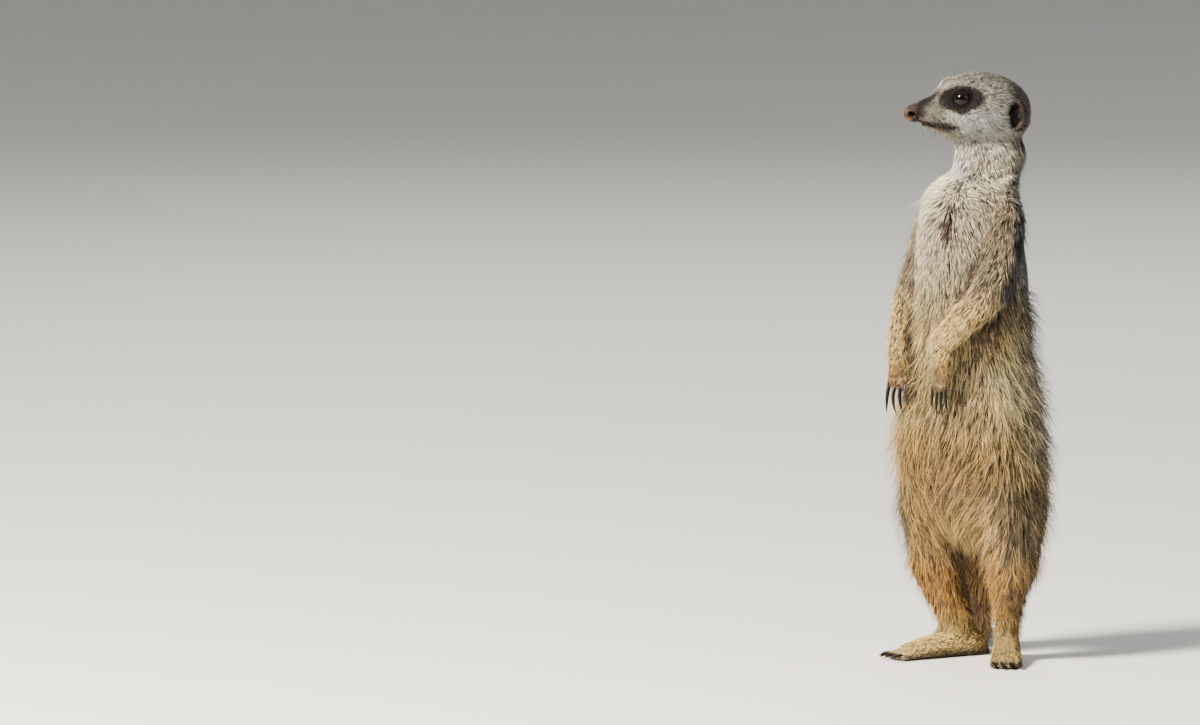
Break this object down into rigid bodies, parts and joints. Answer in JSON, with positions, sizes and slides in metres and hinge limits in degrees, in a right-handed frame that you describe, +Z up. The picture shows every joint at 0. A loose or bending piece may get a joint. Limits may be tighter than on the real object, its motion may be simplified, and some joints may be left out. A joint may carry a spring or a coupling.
{
  "type": "meerkat",
  "caption": "Meerkat standing upright on its hind feet with its head turned aside, as a still life-size model",
  "frame": {"origin": "on the floor, under the middle of the box round the whole animal", "axes": "+Z up; the belly faces -Y, the animal's left is +X, and the head is turned about 48 degrees to the animal's right"},
  "size_m": [0.122, 0.1726, 0.3177],
  "materials": {
    "coat_face": "short grizzled pale grey fur, brown on the bridge of the muzzle, white on the throat",
    "coat_dark": "short black-brown fur of the ears",
    "coat_back": "grizzled grey-tan fur with dark bands across the lower back",
    "coat_belly": "thin pale straw-coloured fur over dark skin",
    "coat_limb": "short sandy yellow fur, paler on the feet and hands",
    "coat_tail": "rufous brown fur with a black tip",
    "nose_pad": "bare damp skin",
    "eye": "wet and glossy, dark brown iris and black pupil",
    "claw": "dark horn, slightly glossy"
  },
  "bodies": {
    "root": {"belly": "coat_belly", "chest": "coat_back", "claw_foot_left_1": "claw", "claw_foot_left_2": "claw", "claw_foot_left_3": "claw", "claw_foot_left_4": "claw", "claw_foot_right_1": "claw", "claw_foot_right_2": "claw", "claw_foot_right_3": "claw", "claw_foot_right_4": "claw", "claw_hand_left_1": "claw", "claw_hand_left_2": "claw", "claw_hand_left_3": "claw", "claw_hand_left_4": "claw", "claw_hand_right_1": "claw", "claw_hand_right_2": "claw", "claw_hand_right_3": "claw", "claw_hand_right_4": "claw", "ear_left": "coat_dark", "ear_right": "coat_dark", "eye_left": "eye", "eye_right": "eye", "foot_left": "coat_limb", "foot_right": "coat_limb", "forearm_left": "coat_limb", "forearm_right": "coat_limb", "hand_left": "coat_limb", "hand_right": "coat_limb", "head": "coat_face", "hips": "coat_back", "lower_jaw": "coat_face", "neck": "coat_back", "nose": "nose_pad", "shank_left": "coat_limb", "shank_right": "coat_limb", "tail_base": "coat_tail", "tail_middle": "coat_tail", "tail_tip": "coat_tail", "thigh_left": "coat_limb", "thigh_right": "coat_limb", "upper_arm_left": "coat_limb", "upper_arm_right": "coat_limb"}
  },
  "joints": []
}
